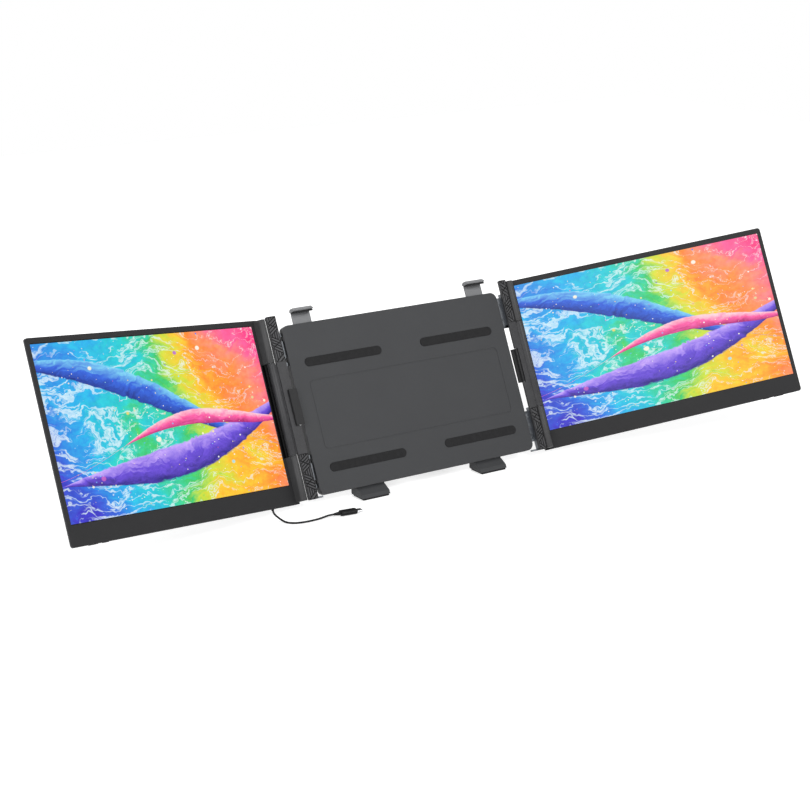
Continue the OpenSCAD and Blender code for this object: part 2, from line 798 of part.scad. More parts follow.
module lead_plug_shell() {
    color(steel) on_plug() translate([relief_len + plug_len, 0, 0]) rotate([90, 0, 90]) difference() {
        linear_extrude(6.6) slot_shape(8.3, 2.4);
        translate([0, 0, 1]) linear_extrude(6.6) slot_shape(7.7, 1.8);
    }
}

// ------------------------------------------------------------------ nodes

front_plate();
rear_shell();
guide_rods();
lid_pads();
front_feet();
housing_screws();
kickstand();
kickstand_pin();
kickstand_foot();
hook(left);  // left_hook
hook(right);  // right_hook
hook_pad(left);  // left_hook_pad
hook_pad(right);  // right_hook_pad
bar(left);  // left_bar
bar(right);  // right_bar
bar_trim(left);  // left_bar_trim
bar_trim(right);  // right_bar_trim
slide_arms(left);  // left_slide_arms
slide_arms(right);  // right_slide_arms
bushes(left);  // left_bushes
bushes(right);  // right_bushes
hinge_barrel(left);  // left_hinge_barrel
hinge_barrel(right);  // right_hinge_barrel
hinge_shafts(left);  // left_hinge_shafts
hinge_shafts(right);  // right_hinge_shafts
hinge_shield(left);  // left_hinge_shield
hinge_shield(right);  // right_hinge_shield
clip(left, 0);  // left_clip
clip(right, 180);  // right_clip
clip_pin(left);  // left_clip_pin
clip_pin(right);  // right_clip_pin
bezel(left);  // left_bezel
bezel(right);  // right_bezel
display(left);  // left_display
display(right);  // right_display
backlight(left);  // left_backlight
backlight(right);  // right_backlight
driver_board(left);  // left_driver_board
driver_board(right);  // right_driver_board
rear_cover(left);  // left_rear_cover
rear_cover(right);  // right_rear_cover
hinge_covers(left);  // left_hinge_covers
hinge_covers(right);  // right_hinge_covers
hinge_trough(left);  // left_hinge_trough
hinge_trough(right);  // right_hinge_trough
hinge_brackets(left);  // left_hinge_brackets
hinge_brackets(right);  // right_hinge_brackets
ports(left);  // left_ports
ports(right);  // right_ports
button(left, power_button);  // left_power_button
button(right, power_button);  // right_power_button
button(left, menu_button);  // left_menu_button
button(right, menu_button);  // right_menu_button
cover_screws(left);  // left_cover_screws
cover_screws(right);  // right_cover_screws
lead_grommet();
lead();
lead_plug();
lead_plug_shell();
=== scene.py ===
"""Looks of a laptop screen extender: two hinged monitors on a frame that grips a laptop lid."""
import math

import bmesh
import bpy
from mathutils import Matrix, Vector


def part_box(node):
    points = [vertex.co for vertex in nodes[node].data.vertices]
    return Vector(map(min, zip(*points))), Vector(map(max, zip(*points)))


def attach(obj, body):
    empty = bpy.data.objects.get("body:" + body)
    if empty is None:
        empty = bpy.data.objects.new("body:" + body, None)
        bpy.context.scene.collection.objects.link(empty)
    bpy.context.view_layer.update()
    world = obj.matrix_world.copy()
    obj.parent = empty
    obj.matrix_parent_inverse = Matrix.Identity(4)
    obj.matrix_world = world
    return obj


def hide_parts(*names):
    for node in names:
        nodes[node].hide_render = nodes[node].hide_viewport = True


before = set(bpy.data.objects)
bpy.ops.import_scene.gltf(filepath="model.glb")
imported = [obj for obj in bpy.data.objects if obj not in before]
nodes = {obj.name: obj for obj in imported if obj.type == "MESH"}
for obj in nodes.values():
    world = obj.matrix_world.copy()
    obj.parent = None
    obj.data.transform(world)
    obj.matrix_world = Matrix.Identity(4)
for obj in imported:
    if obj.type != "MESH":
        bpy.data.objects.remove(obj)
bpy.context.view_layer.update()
MM = 0.001
SIDES = ("left", "right")

# the frame leans back with the lid, and each monitor is turned in from it
LEAN = math.radians(25)
YAW = math.radians(20)
UP_LID = Vector((0, math.sin(LEAN), math.cos(LEAN)))
# where the upright frame's origin stands once it leans back: its y, and its height above the desk
ORIGIN_Y = -15.1 * MM
DESK_DROP = 26 * MM
# the lit area of each screen
LIT_W = 344.2 * MM
LIT_H = 193.6 * MM


# ------------------------------------------------------------------ camera

CAMERA_AZIMUTH = math.radians(-34.04)
CAMERA_ELEVATION = math.radians(16.63)
CAMERA_DISTANCE = 2.3264
CAMERA_TARGET = Vector((-0.04055, -0.0151, 0.10684))
CAMERA_LENS = 85.637
CAMERA_SENSOR = 36
CAMERA_REACH = 40


def make_camera():
    """A camera that looks at its target from an azimuth, an elevation and a distance."""
    data = bpy.data.cameras.new("camera")
    data.sensor_width = CAMERA_SENSOR
    data.lens = CAMERA_LENS
    data.clip_end = CAMERA_REACH
    back = Vector((
        math.sin(CAMERA_AZIMUTH) * math.cos(CAMERA_ELEVATION),
        -math.cos(CAMERA_AZIMUTH) * math.cos(CAMERA_ELEVATION),
        math.sin(CAMERA_ELEVATION),
    ))
    camera = bpy.data.objects.new("camera", data)
    camera.location = CAMERA_TARGET + back * CAMERA_DISTANCE
    camera.rotation_mode = "QUATERNION"
    camera.rotation_quaternion = (-back).to_track_quat("-Z", "Y")
    bpy.context.scene.collection.objects.link(camera)
    bpy.context.scene.camera = camera


make_camera()


# -------------------------------------------------------------------- lead

LEAD_D = 2.4 * MM
# out of the monitor, down to the desk, along it, and up a little into the plug
LEAD_ROUTE_MM = (
    (-230.7, -21.5, 11.6), (-230.7, -22.3, 9.8), (-230, -23.6, 7.8), (-228.8, -25.8, 5.9),
    (-227.4, -28.7, 4.2), (-226.1, -32.2, 2.8), (-225, -36.1, 1.8), (-223.5, -40.2, 1.3),
    (-220.8, -44.2, 1.25), (-216.6, -47.4, 1.25), (-211.4, -49.6, 1.25), (-205.4, -50.8, 1.25),
    (-198.8, -51.3, 1.25), (-192, -51.3, 1.25), (-185, -51.1, 1.4), (-178.4, -50.9, 2.2),
    (-172.2, -50.9, 3), (-166, -51.7, 3),
)


def make_lead():
    """The lead: one smooth curve from the grommet to the plug's strain relief.

    Each point holds the lead's radius, so that the curve's bounding box is as tight as its tube.
    """
    data = bpy.data.curves.new("lead", "CURVE")
    data.dimensions = "3D"
    data.bevel_depth = 1
    data.bevel_resolution = 4
    data.resolution_u = 8
    data.use_fill_caps = True
    line = data.splines.new("NURBS")
    line.points.add(len(LEAD_ROUTE_MM) - 1)
    for point, place in zip(line.points, LEAD_ROUTE_MM):
        point.co = (*(c * MM for c in place), 1)
        point.radius = LEAD_D / 2
    line.order_u = 3
    line.use_endpoint_u = True
    made = bpy.data.objects.new("lead_jacket", data)
    bpy.context.scene.collection.objects.link(made)
    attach(made, "left_monitor")
    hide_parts("lead")
    return made


def new_piece(name, verts, faces, body, replaced, smooth_deg=35):
    """A closed mesh that rides on a body and stands for a CAD node."""
    mesh = bpy.data.meshes.new(name)
    mesh.from_pydata(verts, [], faces)
    work = bmesh.new()
    work.from_mesh(mesh)
    bmesh.ops.recalc_face_normals(work, faces=work.faces)
    work.to_mesh(mesh)
    work.free()
    mesh.shade_smooth()
    mesh.set_sharp_from_angle(angle=math.radians(smooth_deg))
    made = bpy.data.objects.new(name, mesh)
    bpy.context.scene.collection.objects.link(made)
    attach(made, body)
    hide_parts(replaced)
    return made


def stadium(width, height, count=40):
    """Points round a slot shape: straight above and below, half circles at its ends."""
    radius = height / 2
    reach = width / 2 - radius
    points = []
    for step in range(count):
        turn = 2 * math.pi * (step + 0.5) / count
        x, z = math.cos(turn), math.sin(turn)
        points.append((math.copysign(reach, x) + radius * x, radius * z))
    return points


# the plug's overmould, in mm: its ribs, each thicker than the one before, and the grooves of its grip.
# A profile gives the distance from where a rib or groove starts, and how far it stands out or goes in.
PLUG_W, PLUG_H = 10.6, 6
RELIEF_RIBS, RIB_START, RIB_PITCH = 5, 0.6, 1.4
RIB_SIZE, RIB_GROWTH = 3.1, 0.3
RIB_PROFILE = ((0, 0), (0.9, 0.2), (1.0, -0.4), (1.35, -0.4))
GRIP_GROOVES, GRIP_START, GRIP_PITCH = 5, 14, 1.6
GRIP_PROFILE = ((0, 0), (0.2, 0.4), (0.6, 0.4), (0.8, 0))


def plug_sections():
    """Sections of the plug's overmould, in mm: distance from the lead's end, width, height."""
    sections = [(0, 2.5, 2.5), (0.3, 2.9, 2.9)]
    for rib in range(RELIEF_RIBS):
        start, size = RIB_START + RIB_PITCH * rib, RIB_SIZE + RIB_GROWTH * rib
        for away, more in RIB_PROFILE:
            sections.append((start + away, size + more, size + more))
    sections += [(7.9, 4.4, 4.4), (8, 8.6, 4.6), (8.25, 9.8, 5.4), (8.9, PLUG_W, PLUG_H)]
    for groove in range(GRIP_GROOVES):
        start = GRIP_START + GRIP_PITCH * groove
        for away, deep in GRIP_PROFILE:
            sections.append((start + away, PLUG_W - deep, PLUG_H - deep))
    return sections + [(26.8, PLUG_W, PLUG_H), (28.3, 10.3, 5.7), (28.8, 9.9, 5.3), (29, 9.2, 4.6)]


def make_plug():
    """The plug's overmould: a ribbed strain relief that runs into a body with a grooved grip."""
    end = Vector(LEAD_ROUTE_MM[-1])
    ahead = end - Vector(LEAD_ROUTE_MM[-2])
    ahead = Vector((ahead.x, ahead.y, 0)).normalized()
    aside = Vector((-ahead.y, ahead.x, 0))
    verts, faces = [], []
    sections = plug_sections()
    for away, width, height in sections:
        for x, z in stadium(width, height):
            verts.append((end + ahead * away + aside * x + Vector((0, 0, z))) * MM)
    count = len(verts) // len(sections)
    for ring in range(len(sections) - 1):
        for step in range(count):
            a, b = ring * count + step, ring * count + (step + 1) % count
            faces.append((a, b, b + count, a + count))
    faces.append(tuple(range(count)))
    faces.append(tuple(range(len(verts) - count, len(verts))))
    return new_piece("plug_overmould", verts, faces, "left_monitor", "lead_plug")


lead = make_lead()
plug = make_plug()


# ------------------------------------------------------------ facet strips

# upright places, in mm: x from the middle, y behind the lid's face, z up the lid
STRIP_BACK = 3.0
STRIP_FLOOR = 2.85
STRIP_TOP = 1.86
STRIP_SPANS = ((-12.25, 42.45), (155.55, 210.55))
# corners of the zigzag: 0 on the inner edge and 1 on the outer, with their share of the length
ZIGZAG = ((0, 0), (1, 0), (0, 0.17), (1, 0.31), (0, 0.45), (1, 0.58), (0, 0.73), (1, 0.86), (0, 1), (1, 1))
RIDGE_PITCH = 3.4
RIDGE_GROOVE = 0.5
RIDGE_CHAMFER = 0.25
# how deep a ridge's foot stands in its plate
RIDGE_SINK = 0.05
# the largest share of its length by which a ridge's end is pulled in, and the shortest length counted
WIDEST_PULL = 0.45
SHORTEST_END = 0.001
# how far a ridge's crest falls back for each mm across the strip, and for each mm from its facet's middle
CREST_TILT = 0.012
CREST_FALL = 0.016


def upright(x, y, z):
    """A point of the upright frame, in mm, leaned back and set on the desk, in metres."""
    y, z = y * MM, z * MM
    return Vector((x * MM, ORIGIN_Y + y * math.cos(LEAN) + z * math.sin(LEAN),
                   DESK_DROP + z * math.cos(LEAN) - y * math.sin(LEAN)))


def add_prism(verts, faces, low, low_y, high, high_ys):
    """A solid between an outline at depth low_y and one at its own depth at each corner."""
    start, count = len(verts), len(low)
    verts += [upright(x, low_y, z) for x, z in low]
    verts += [upright(x, y, z) for (x, z), y in zip(high, high_ys)]
    faces.append(tuple(range(start, start + count)))
    faces.append(tuple(range(start + count, start + 2 * count)))
    for step in range(count):
        a, b = start + step, start + (step + 1) % count
        faces.append((a, b, b + count, a + count))


def ridge_outline(base_a, base_b, apex, low, high, pull):
    """The stretch of a triangle between two shares of the way to its apex, pulled in at both ends."""
    out = []
    for share, from_a in ((low, True), (low, False), (high, False), (high, True)):
        a, b = base_a.lerp(apex, share), base_b.lerp(apex, share)
        inset = min(WIDEST_PULL, pull / max((b - a).length, SHORTEST_END))
        out.append(tuple(a.lerp(b, inset) if from_a else b.lerp(a, inset)))
    return out


def add_facet(verts, faces, sign, inner, triangle, lie):
    """One triangular facet, cut into parallel ridges; lie, 0 to 2, picks their direction and their tilt."""
    middle = sum(triangle, Vector((0, 0))) / 3
    apex = triangle.pop(lie)
    base_a, base_b = triangle
    tall = abs((base_b - base_a).cross(apex - base_a)) / (base_b - base_a).length
    ridges = max(2, round(tall / RIDGE_PITCH))
    groove, chamfer = RIDGE_GROOVE / tall, RIDGE_CHAMFER / tall
    for ridge in range(ridges):
        near, far = ridge / ridges + groove, (ridge + 1) / ridges - groove
        if far - near < 3 * chamfer:
            continue
        foot = ridge_outline(base_a, base_b, apex, near, far, RIDGE_GROOVE)
        crest = ridge_outline(base_a, base_b, apex, near + chamfer, far - chamfer,
                              RIDGE_GROOVE + RIDGE_CHAMFER)
        depths = [STRIP_TOP + CREST_TILT * (x - inner) * lie + CREST_FALL * abs(z - middle.y)
                  for x, z in crest]
        add_prism(verts, faces, [(sign * x, z) for x, z in foot], STRIP_FLOOR + RIDGE_SINK,
                  [(sign * x, z) for x, z in crest], depths)


def make_facet_strips(side):
    """Zigzag facets above and below the plain middle of a bar, on two plates in the bar's face."""
    sign = -1 if side == "left" else 1
    low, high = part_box(side + "_bar_trim")
    inner, outer = sorted((abs(low[0]) / MM, abs(high[0]) / MM))
    verts, faces, plates = [], [], set()
    for z0, z1 in STRIP_SPANS:
        plate = [(sign * x, z) for x, z in ((inner, z0), (outer, z0), (outer, z1), (inner, z1))]
        first = len(faces)
        add_prism(verts, faces, plate, STRIP_BACK, plate, [STRIP_FLOOR] * 4)
        plates.update(range(first, len(faces)))
        corners = [Vector((inner + (outer - inner) * across, z0 + (z1 - z0) * along))
                   for across, along in ZIGZAG]
        for number in range(len(corners) - 2):
            add_facet(verts, faces, sign, inner, corners[number:number + 3], number % 3)
    strips = new_piece(side + "_facet_strips", verts, faces, side + "_carriage",
                       side + "_bar_trim", smooth_deg=5)
    # the plates that the ridges stand on take the second finish, near black as painted shade in the grooves
    for face in strips.data.polygons:
        face.material_index = 1 if face.index in plates else 0
    return strips


facet_strips = {side: make_facet_strips(side) for side in SIDES}


# --------------------------------------------------------------- materials

def linear(hex_colour):
    """An sRGB hex colour as linear RGBA."""
    out = []
    for start in (1, 3, 5):
        value = int(hex_colour[start:start + 2], 16) / 255
        out.append(value / 12.92 if value <= 0.04045 else ((value + 0.055) / 1.055) ** 2.4)
    return (*out, 1.0)


def add(tree, kind, settings, *inputs):
    """Adds a node with its settings, or its operation, and with its inputs in order.

    An input is a node, whose first output is linked, or a socket, a value, a hex colour, or None.
    Noise takes its place, scale, detail and roughness, and a map range takes its value, the range
    that it comes from and the range that it goes to.
    """
    made = tree.nodes.new("ShaderNode" + kind)
    settings = {"operation": settings} if isinstance(settings, str) else dict(settings or {})
    stops = settings.pop("stops", ())
    for key, value in settings.items():
        setattr(made, key, value)
    for number, (at, colour) in enumerate(stops):
        band = made.color_ramp.elements
        element = band[number] if number < 2 else band.new(at)
        element.position, element.color = at, linear(colour)
    for socket, value in zip([s for s in made.inputs if s.enabled], inputs):
        if isinstance(value, bpy.types.Node):
            value = next(s for s in value.outputs if s.enabled)
        if isinstance(value, bpy.types.NodeSocket):
            tree.links.new(value, socket)
        elif value is not None:
            socket.default_value = linear(value) if isinstance(value, str) else value
    return made


RGBA = {"data_type": "RGBA"}
RELIEF_STRENGTH = 0.4


def new_material(name, colour, roughness, metallic=0.0, ior=None, specular=None):
    """A Principled material with its uniform values on the shader's own sockets."""
    material = bpy.data.materials.new(name)
    material.use_nodes = True
    tree = material.node_tree
    shader = tree.nodes["Principled BSDF"]
    shader.inputs["Base Color"].default_value = linear(colour)
    shader.inputs["Roughness"].default_value = roughness
    shader.inputs["Metallic"].default_value = metallic
    if ior is not None:
        shader.inputs["IOR"].default_value = ior
    if specular is not None:
        shader.inputs["Specular IOR Level"].default_value = specular
    place = add(tree, "TexCoord", None).outputs["Object"]
    return material, tree, shader, place


def dress(tree, shader, pattern, low, high, dark, light, rough, depth_mm=None):
    """Carries a pattern, stretched from low..high, into the colour, the roughness and the relief."""
    share = add(tree, "MapRange", None, pattern, low, high, 0.0, 1.0)
    tree.links.new(add(tree, "Mix", RGBA, share, dark, light).outputs[2], shader.inputs["Base Color"])
    sheen = add(tree, "MapRange", None, share, 0.0, 1.0, *rough)
    tree.links.new(sheen.outputs[0], shader.inputs["Roughness"])
    if depth_mm is not None:
        made = add(tree, "Bump", None)
        made.inputs["Strength"].default_value = RELIEF_STRENGTH
        made.inputs["Distance"].default_value = depth_mm * MM
        tree.links.new(share.outputs[0], made.inputs["Height"])
        tree.links.new(made.outputs[0], shader.inputs["Normal"])


def moulded_abs(name, colour, darker, roughness=0.56, specular=0.3):
    """Moulded ABS, spark-eroded tool finish: an even soft sheen broken by a very fine pebble grain.

    The real grain is about 0.15 mm and is drawn at 0.9 mm, so that it shows.
    """
    material, tree, shader, place = new_material(name, colour, roughness, ior=1.53, specular=specular)
    grain = add(tree, "TexNoise", None, place, 1 / (0.9 * MM), 3.0, 0.6)
    cloud = add(tree, "TexNoise", None, place, 1 / (70 * MM), 2.0)
    tone = add(tree, "Mix", RGBA, add(tree, "MapRange", None, cloud, 0.35, 0.65, 0.0, 0.7), colour, darker)
    dress(tree, shader, grain, 0.35, 0.65, tone, colour, (roughness - 0.06, roughness + 0.08), 0.12)
    return material


def satin_paint(name, colour, darker, roughness=0.42, specular=0.4):
    """Satin two-pack paint on die-cast zinc: smooth, with a faint orange peel of about 2 mm."""
    material, tree, shader, place = new_material(name, colour, roughness, ior=1.5, specular=specular)
    cloud = add(tree, "TexNoise", None, place, 1 / (9 * MM), 4.0, 0.65)
    peel = add(tree, "TexNoise", None, place, 1 / (1.1 * MM), 2.0)
    both = add(tree, "Math", "MULTIPLY_ADD", peel, 0.5, add(tree, "Math", "MULTIPLY", cloud, 0.5))
    dress(tree, shader, both, 0.4, 0.6, darker, colour, (roughness - 0.05, roughness + 0.07), 0.06)
    return material


def powder_coat(name, colour, darker, roughness=0.62):
    """Fine-texture powder coat: matt, with a crinkle of about 0.4 mm, drawn at 0.8 mm."""
    material, tree, shader, place = new_material(name, colour, roughness, ior=1.5, specular=0.35)
    crinkle = add(tree, "TexVoronoi", {"feature": "SMOOTH_F1"}, place, 1 / (0.8 * MM))
    cloud = add(tree, "TexNoise", None, place, 1 / (60 * MM), 2.0)
    tone = add(tree, "Mix", RGBA, add(tree, "MapRange", None, cloud, 0.35, 0.65, 0.0, 1.0), darker, colour)
    dress(tree, shader, crinkle, 0.1, 0.7, tone, colour, (roughness - 0.08, roughness + 0.08), 0.08)
    return material


def silicone_rubber(name, colour, lighter, roughness=0.78):
    """Black silicone rubber: matt, with a slight dusting of lighter bloom."""
    material, tree, shader, place = new_material(name, colour, roughness, ior=1.41, specular=0.3)
    bloom = add(tree, "TexNoise", None, place, 1 / (5 * MM), 5.0, 0.65)
    dress(tree, shader, bloom, 0.4, 0.75, colour, lighter, (roughness - 0.08, roughness + 0.08), 0.1)
    return material


def turned_steel(name, colour, darker, roughness=0.28):
    """Turned and ground steel: bright, with fine rings across its length, 0.5 mm apart."""
    material, tree, shader, place = new_material(name, colour, roughness, metallic=1.0)
    rings = add(tree, "TexWave", {"bands_direction": "X"}, place, 1 / (3.1 * MM), 1.5, 2.0)
    dress(tree, shader, rings.outputs[1], 0.0, 1.0, darker, colour, (roughness - 0.06, roughness + 0.1))
    return material


def pressed_steel(name, colour, darker, roughness=0.4):
    """Pressed zinc-plated sheet: grey metal with soft spangle, 6 mm across."""
    material, tree, shader, place = new_material(name, colour, roughness, metallic=1.0)
    crystals = add(tree, "TexVoronoi", None, place, 1 / (6 * MM))
    spangle = add(tree, "SeparateColor", None, crystals.outputs["Color"])
    dress(tree, shader, spangle, 0.0, 1.0, darker, colour, (roughness - 0.08, roughness + 0.1))
    return material


def sintered_bronze(name, colour, darker):
    """Oil-filled sintered bronze: dull metal with open pores, 0.5 mm apart."""
    material, tree, shader, place = new_material(name, colour, 0.5, metallic=1.0)
    pores = add(tree, "TexVoronoi", None, place, 1 / (0.5 * MM))
    dress(tree, shader, pores, 0.05, 0.4, darker, colour, (0.58, 0.44), 0.05)
    return material


def plated_nickel(name, colour, darker):
    """Nickel-plated drawn steel: bright, with a faint drawing haze."""
    material, tree, shader, place = new_material(name, colour, 0.22, metallic=1.0)
    haze = add(tree, "TexNoise", None, place, 1 / (1.5 * MM), 2.0)
    dress(tree, shader, haze, 0.3, 0.7, darker, colour, (0.16, 0.3))
    return material


def elastomer_jacket(name, colour, lighter):
    """Thermoplastic elastomer over a lead: black, softly shiny, with a slight waviness."""
    material, tree, shader, place = new_material(name, colour, 0.42, ior=1.5, specular=0.2)
    drag = add(tree, "TexNoise", None, place, 1 / (4 * MM), 2.0)
    dress(tree, shader, drag, 0.35, 0.7, colour, lighter, (0.36, 0.5), 0.05)
    return material


def solder_mask(name, colour, darker):
    """Green solder mask over copper: glossy, with darker runs where there are no tracks."""
    material, tree, shader, place = new_material(name, colour, 0.3, ior=1.5)
    tracks = add(tree, "TexBrick", {"offset": 0.3}, place, colour, colour, darker, 1 / (9 * MM), 0.03)
    tree.links.new(tracks.outputs[0], shader.inputs["Base Color"])
    return material


def diffuser_film(name, colour, darker):
    """Stacked diffuser films: white and matt, with a slight ripple."""
    material, tree, shader, place = new_material(name, colour, 0.6, ior=1.57)
    ripple = add(tree, "TexNoise", None, place, 1 / (12 * MM), 1.0)
    dress(tree, shader, ripple, 0.3, 0.7, darker, colour, (0.54, 0.66))
    return material


# --------------------------------------------------- picture on the screens

# each ribbon: height at its left end, rise, wave height, radians of wave across the screen, its first
# angle, where across it starts and ends, half width, and its colours from its lower to its upper edge
RIBBONS = (
    (0.50, -0.34, 0.050, 5.2, 0.10, (0.02, 0.78), 0.048, ("#14308f", "#2f63dc", "#7fd4f7")),
    (0.04, 0.30, 0.060, 4.4, 1.90, (0.12, 0.98), 0.056, ("#2b1f86", "#6a4bd8", "#c7a8ff")),
    (0.16, 0.13, 0.045, 7.0, 4.10, (0.34, 0.96), 0.026, ("#b01b72", "#ff5fa8", "#ffd3dc")),
)
# each spatter: drops across the width, the rarest share that shows, size of the largest
SPATTERS = ((24, 0.80, 0.24), (52, 0.74, 0.22), (120, 0.66, 0.26))
# brush strokes and foam: how far each pattern is turned, and how it is stretched along and across
STROKE_TURN, STROKE_STRETCH = (0, 0, math.radians(-38)), (9, 60, 1)
FOAM_TURN, FOAM_STRETCH = (0, 0, math.radians(32)), (4, 15, 1)
# how the poured colours run: where they start, how far they go across and up the screen, how much the
# folds and the brush strokes move them, and how far they drift
HUE_START, HUE_ACROSS, HUE_UP, HUE_FOLDS, HUE_STROKES = -0.56, 0.92, 0.16, 0.95, 0.16
POUR_BEND = (0.42, 0.42, 0.0)
# half width of a streak of foam on the cool and on the warm side, and how much of the paint it hides
FOAM_COOL, FOAM_WARM, FOAM_COVER = 0.038, 0.008, 0.72
# how far the strokes tear a ribbon's edge and shade it, and its least half width
RIBBON_TEAR, RIBBON_SHADE, RIBBON_THINNEST = 0.5, 1.4, 0.0004
# how much the drops crowd together, and how soft their edges are
DROP_CROWDING, DROP_EDGE = 1.1, 0.05
POURED_COLOURS = (
    (0.00, "#3a35c8"), (1.00, "#ff3d86"), (0.10, "#2f6de0"), (0.22, "#22b4ee"), (0.34, "#1fd0cf"),
    (0.43, "#3fcf6b"), (0.51, "#cfe23c"), (0.58, "#ffc629"), (0.68, "#ff8f2e"), (0.79, "#ff8f72"),
    (0.89, "#ff5f9a"),
)
DROP_COLOURS = (
    (0.0, "#ffffff"), (1.0, "#ff4f8f"), (0.45, "#fff4c8"), (0.6, "#ffd23c"), (0.72, "#8fe6ff"),
    (0.86, "#4b6fe8"),
)


def pour_colours(tree, sheet, across, height):
    """Bands of poured paint, from violet and cyan on the left to orange and pink on the right."""
    drift = add(tree, "TexNoise", None, sheet, 2.6, 5.0, 0.62)
    bent = add(tree, "VectorMath", "MULTIPLY_ADD", drift.outputs["Color"], POUR_BEND, sheet)
    fold = add(tree, "TexNoise", None, bent, 1.9, 3.0, 0.55)
    hue = add(tree, "Math", "MULTIPLY_ADD", across, HUE_ACROSS, HUE_START)
    hue = add(tree, "Math", "MULTIPLY_ADD", fold, HUE_FOLDS, hue)
    hue = add(tree, "Math", "MULTIPLY_ADD", height, HUE_UP, hue)
    strokes = add(tree, "TexNoise", None, add(
        tree, "Mapping", None, bent, (0, 0, 0), STROKE_TURN, STROKE_STRETCH), 1.0, 4.0, 0.6)
    hue = add(tree, "Math", "MULTIPLY_ADD", add(tree, "Math", "SUBTRACT", strokes, 0.5), HUE_STROKES, hue)
    return bent, strokes, add(tree, "ValToRGB", {"stops": POURED_COLOURS}, hue)


def add_foam(tree, bent, across, colours):
    """Pale foam in thin, torn streaks, thick on the cool side and sparse on the warm one."""
    streaks = add(tree, "TexNoise", None, add(
        tree, "Mapping", None, bent, (0, 0, 0), FOAM_TURN, FOAM_STRETCH), 1.0, 9.0, 0.62)
    off_middle = add(tree, "Math", "ABSOLUTE", add(tree, "Math", "SUBTRACT", streaks, 0.5))
    reach = add(tree, "MapRange", None, across, 0.15, 0.7, FOAM_COOL, FOAM_WARM)
    ratio = add(tree, "Math", "DIVIDE", off_middle, reach)
    foam = add(tree, "MapRange", None, ratio, 0.1, 1.0, FOAM_COVER, 0.0)
    return add(tree, "Mix", RGBA, foam, colours, "#e9fbff")


def add_ribbon(tree, across, tall, strokes, colours, ribbon):
    """One folded ribbon of thick paint that swells and thins along its length."""
    start, rise, wave, waves, phase, (left_end, right_end), half, shades = ribbon
    angle = add(tree, "Math", "MULTIPLY_ADD", across, waves, phase)
    line = add(tree, "Math", "MULTIPLY_ADD", add(tree, "Math", "SINE", angle), wave, start)
    line = add(tree, "Math", "MULTIPLY_ADD", across, rise, line)
    along = add(tree, "MapRange", None, across, left_end, right_end, 0.0, math.pi)
    width = add(tree, "Math", "MAXIMUM", add(
        tree, "Math", "MULTIPLY", add(tree, "Math", "SINE", along), half), RIBBON_THINNEST)
    aside = add(tree, "Math", "DIVIDE", add(tree, "Math", "SUBTRACT", tall, line), width)
    uneven = add(tree, "Math", "SUBTRACT", strokes, 0.5)
    torn = add(tree, "Math", "MULTIPLY_ADD", uneven, RIBBON_TEAR, aside)
    inside = add(tree, "MapRange", None, add(tree, "Math", "ABSOLUTE", torn), 0.9, 1.0, 1.0, 0.0)
    shade = add(tree, "Math", "MULTIPLY_ADD", uneven, RIBBON_SHADE, torn)
    paint = add(tree, "ValToRGB", {"stops": ((0.0, shades[0]), (1.0, shades[2]), (0.5, shades[1]))},
                add(tree, "MapRange", None, shade, -1.0, 1.0, 0.0, 1.0))
    return add(tree, "Mix", RGBA, inside, colours, paint)


def add_spatter(tree, sheet, colours, spatter):
    """Round drops of thrown paint, most of them white or pale."""
    count, rarest, largest = spatter
    cells = add(tree, "TexVoronoi", None, sheet, float(count))
    chance = add(tree, "SeparateColor", None, cells.outputs["Color"])
    crowd = add(tree, "TexNoise", None, sheet, 5.0, 1.0)
    crowd = add(tree, "Math", "SUBTRACT", crowd, 0.5)
    rare = add(tree, "Math", "MULTIPLY_ADD", crowd, DROP_CROWDING, chance)
    radius = add(tree, "MapRange", None, rare, rarest, 1.0, 0.0, largest)
    edge = add(tree, "Math", "SUBTRACT", radius, DROP_EDGE)
    drop = add(tree, "MapRange", None, cells, edge, radius, 0.9, 0.0)
    shown = add(tree, "Math", "MULTIPLY", drop, add(tree, "Math", "GREATER_THAN", radius, 0.01))
    paint = add(tree, "ValToRGB", {"stops": DROP_COLOURS}, chance.outputs[1])
    return add(tree, "Mix", RGBA, shown, colours, paint)


def wallpaper(tree, across, height):
    """An abstract wallpaper of poured paint; across and height go from 0 to 1 over the lit area."""
    tall = add(tree, "Math", "MULTIPLY", height, LIT_H / LIT_W)
    sheet = add(tree, "CombineXYZ", None, across, tall)
    bent, strokes, colours = pour_colours(tree, sheet, across, height)
    colours = add_foam(tree, bent, across, colours)
    for ribbon in RIBBONS:
        colours = add_ribbon(tree, across, tall, strokes, colours, ribbon)
    for spatter in SPATTERS:
        colours = add_spatter(tree, sheet, colours, spatter)
    mottle = add(tree, "TexNoise", None, sheet, 38.0, 4.0, 0.7)
    grey = add(tree, "MapRange", None, mottle, 0.3, 0.7, 0.34, 0.66)
    return add(tree, "Mix", {"data_type": "RGBA", "blend_type": "OVERLAY"}, 0.75, colours, add(
        tree, "CombineColor", None, grey, grey, grey))


